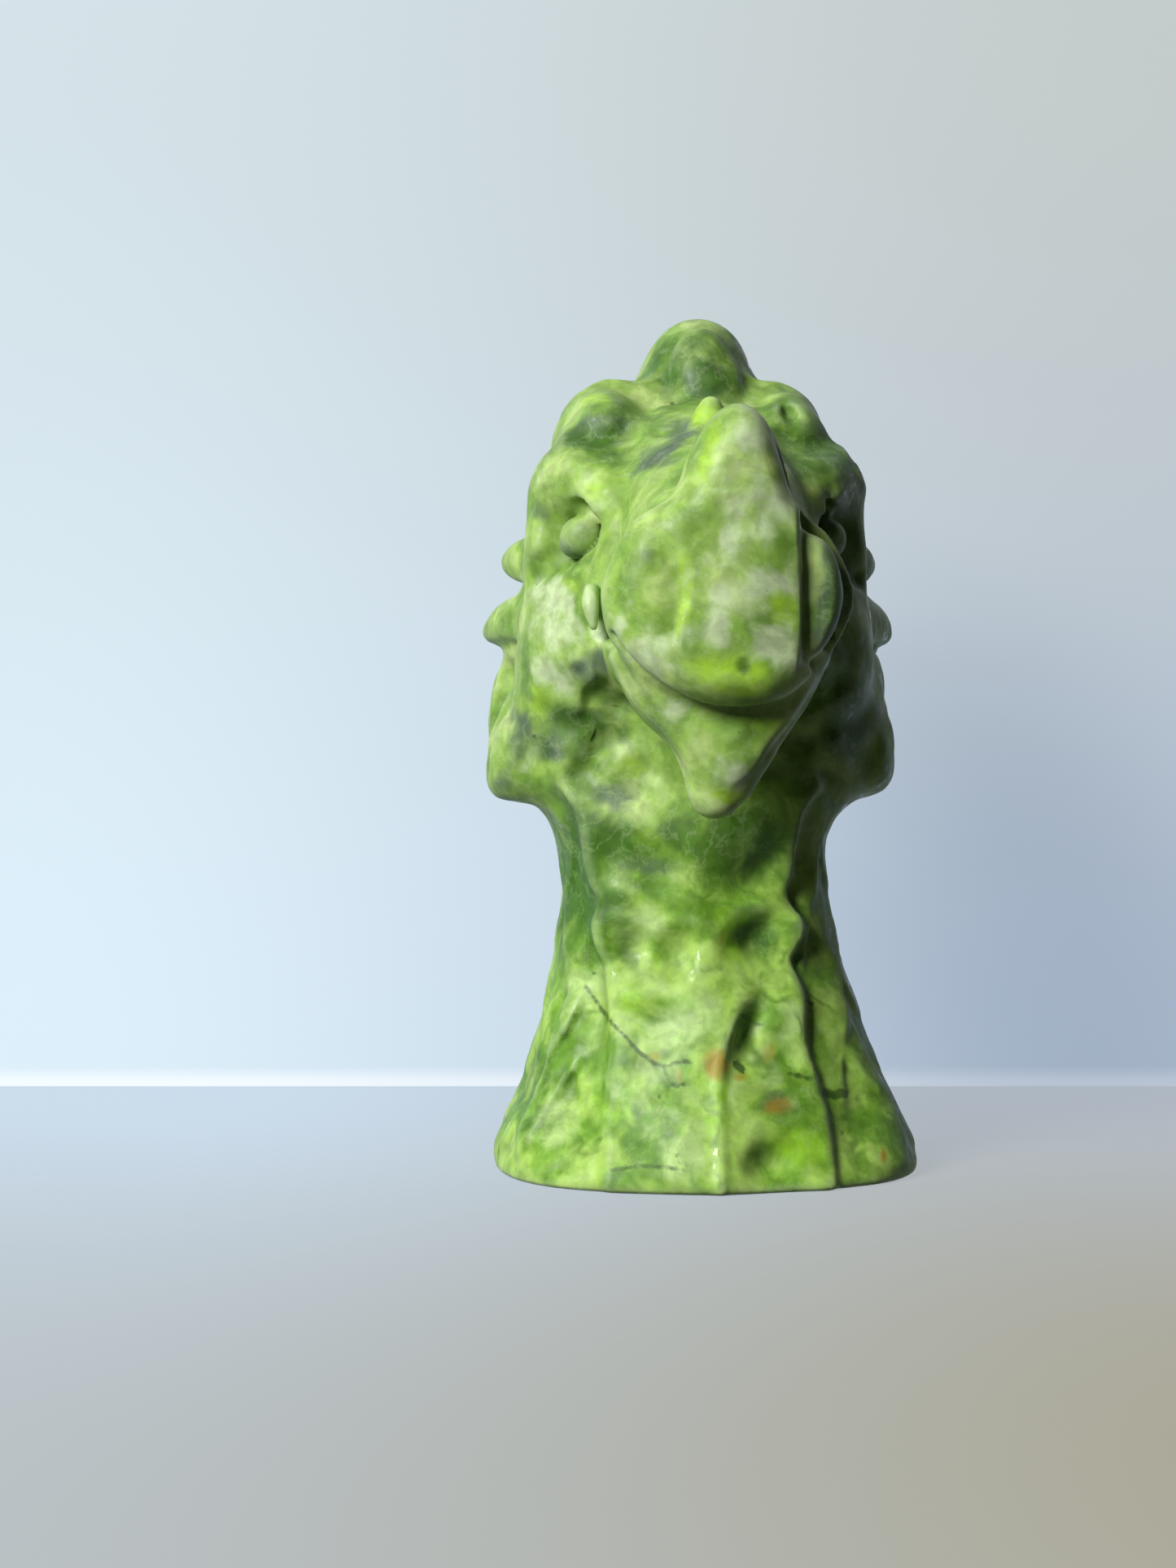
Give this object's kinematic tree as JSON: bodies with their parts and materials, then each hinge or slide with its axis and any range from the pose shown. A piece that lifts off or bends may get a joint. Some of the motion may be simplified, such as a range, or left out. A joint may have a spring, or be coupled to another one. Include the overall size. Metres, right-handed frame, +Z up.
{
  "type": "stone dragon head carving",
  "caption": "Upright dragon head carved from pale green stone, with nose horn, crest, swept horns, frilled cheeks and a scaled neck on a flat flared foot.",
  "frame": {"origin": "on the flat foot that the carving rests on, in the plane that halves the head", "axes": "+Z up from the foot to the crest; -Y the way the dragon looks; +X to the dragon's own left, so the viewer's right when facing it"},
  "size_m": [0.0562, 0.0802, 0.1116],
  "materials": {
    "stone": "satin"
  },
  "bodies": {
    "root": {"brow_horn": "stone", "chin_barb": "stone", "crest_front": "stone", "crest_rear": "stone", "left_brow": "stone", "left_cheek": "stone", "left_eye": "stone", "left_fang": "stone", "left_frill": "stone", "left_horn": "stone", "left_lappet": "stone", "left_middle_spike": "stone", "left_upper_spike": "stone", "lower_jaw": "stone", "muzzle": "stone", "nape_spine_1": "stone", "nape_spine_2": "stone", "nape_spine_3": "stone", "nape_spine_4": "stone", "nape_spine_5": "stone", "neck": "stone", "nose_bridge": "stone", "nose_horn": "stone", "right_brow": "stone", "right_cheek": "stone", "right_eye": "stone", "right_fang": "stone", "right_frill": "stone", "right_horn": "stone", "right_lappet": "stone", "right_middle_spike": "stone", "right_upper_spike": "stone", "skull": "stone", "throat_panel": "stone"}
  },
  "joints": []
}
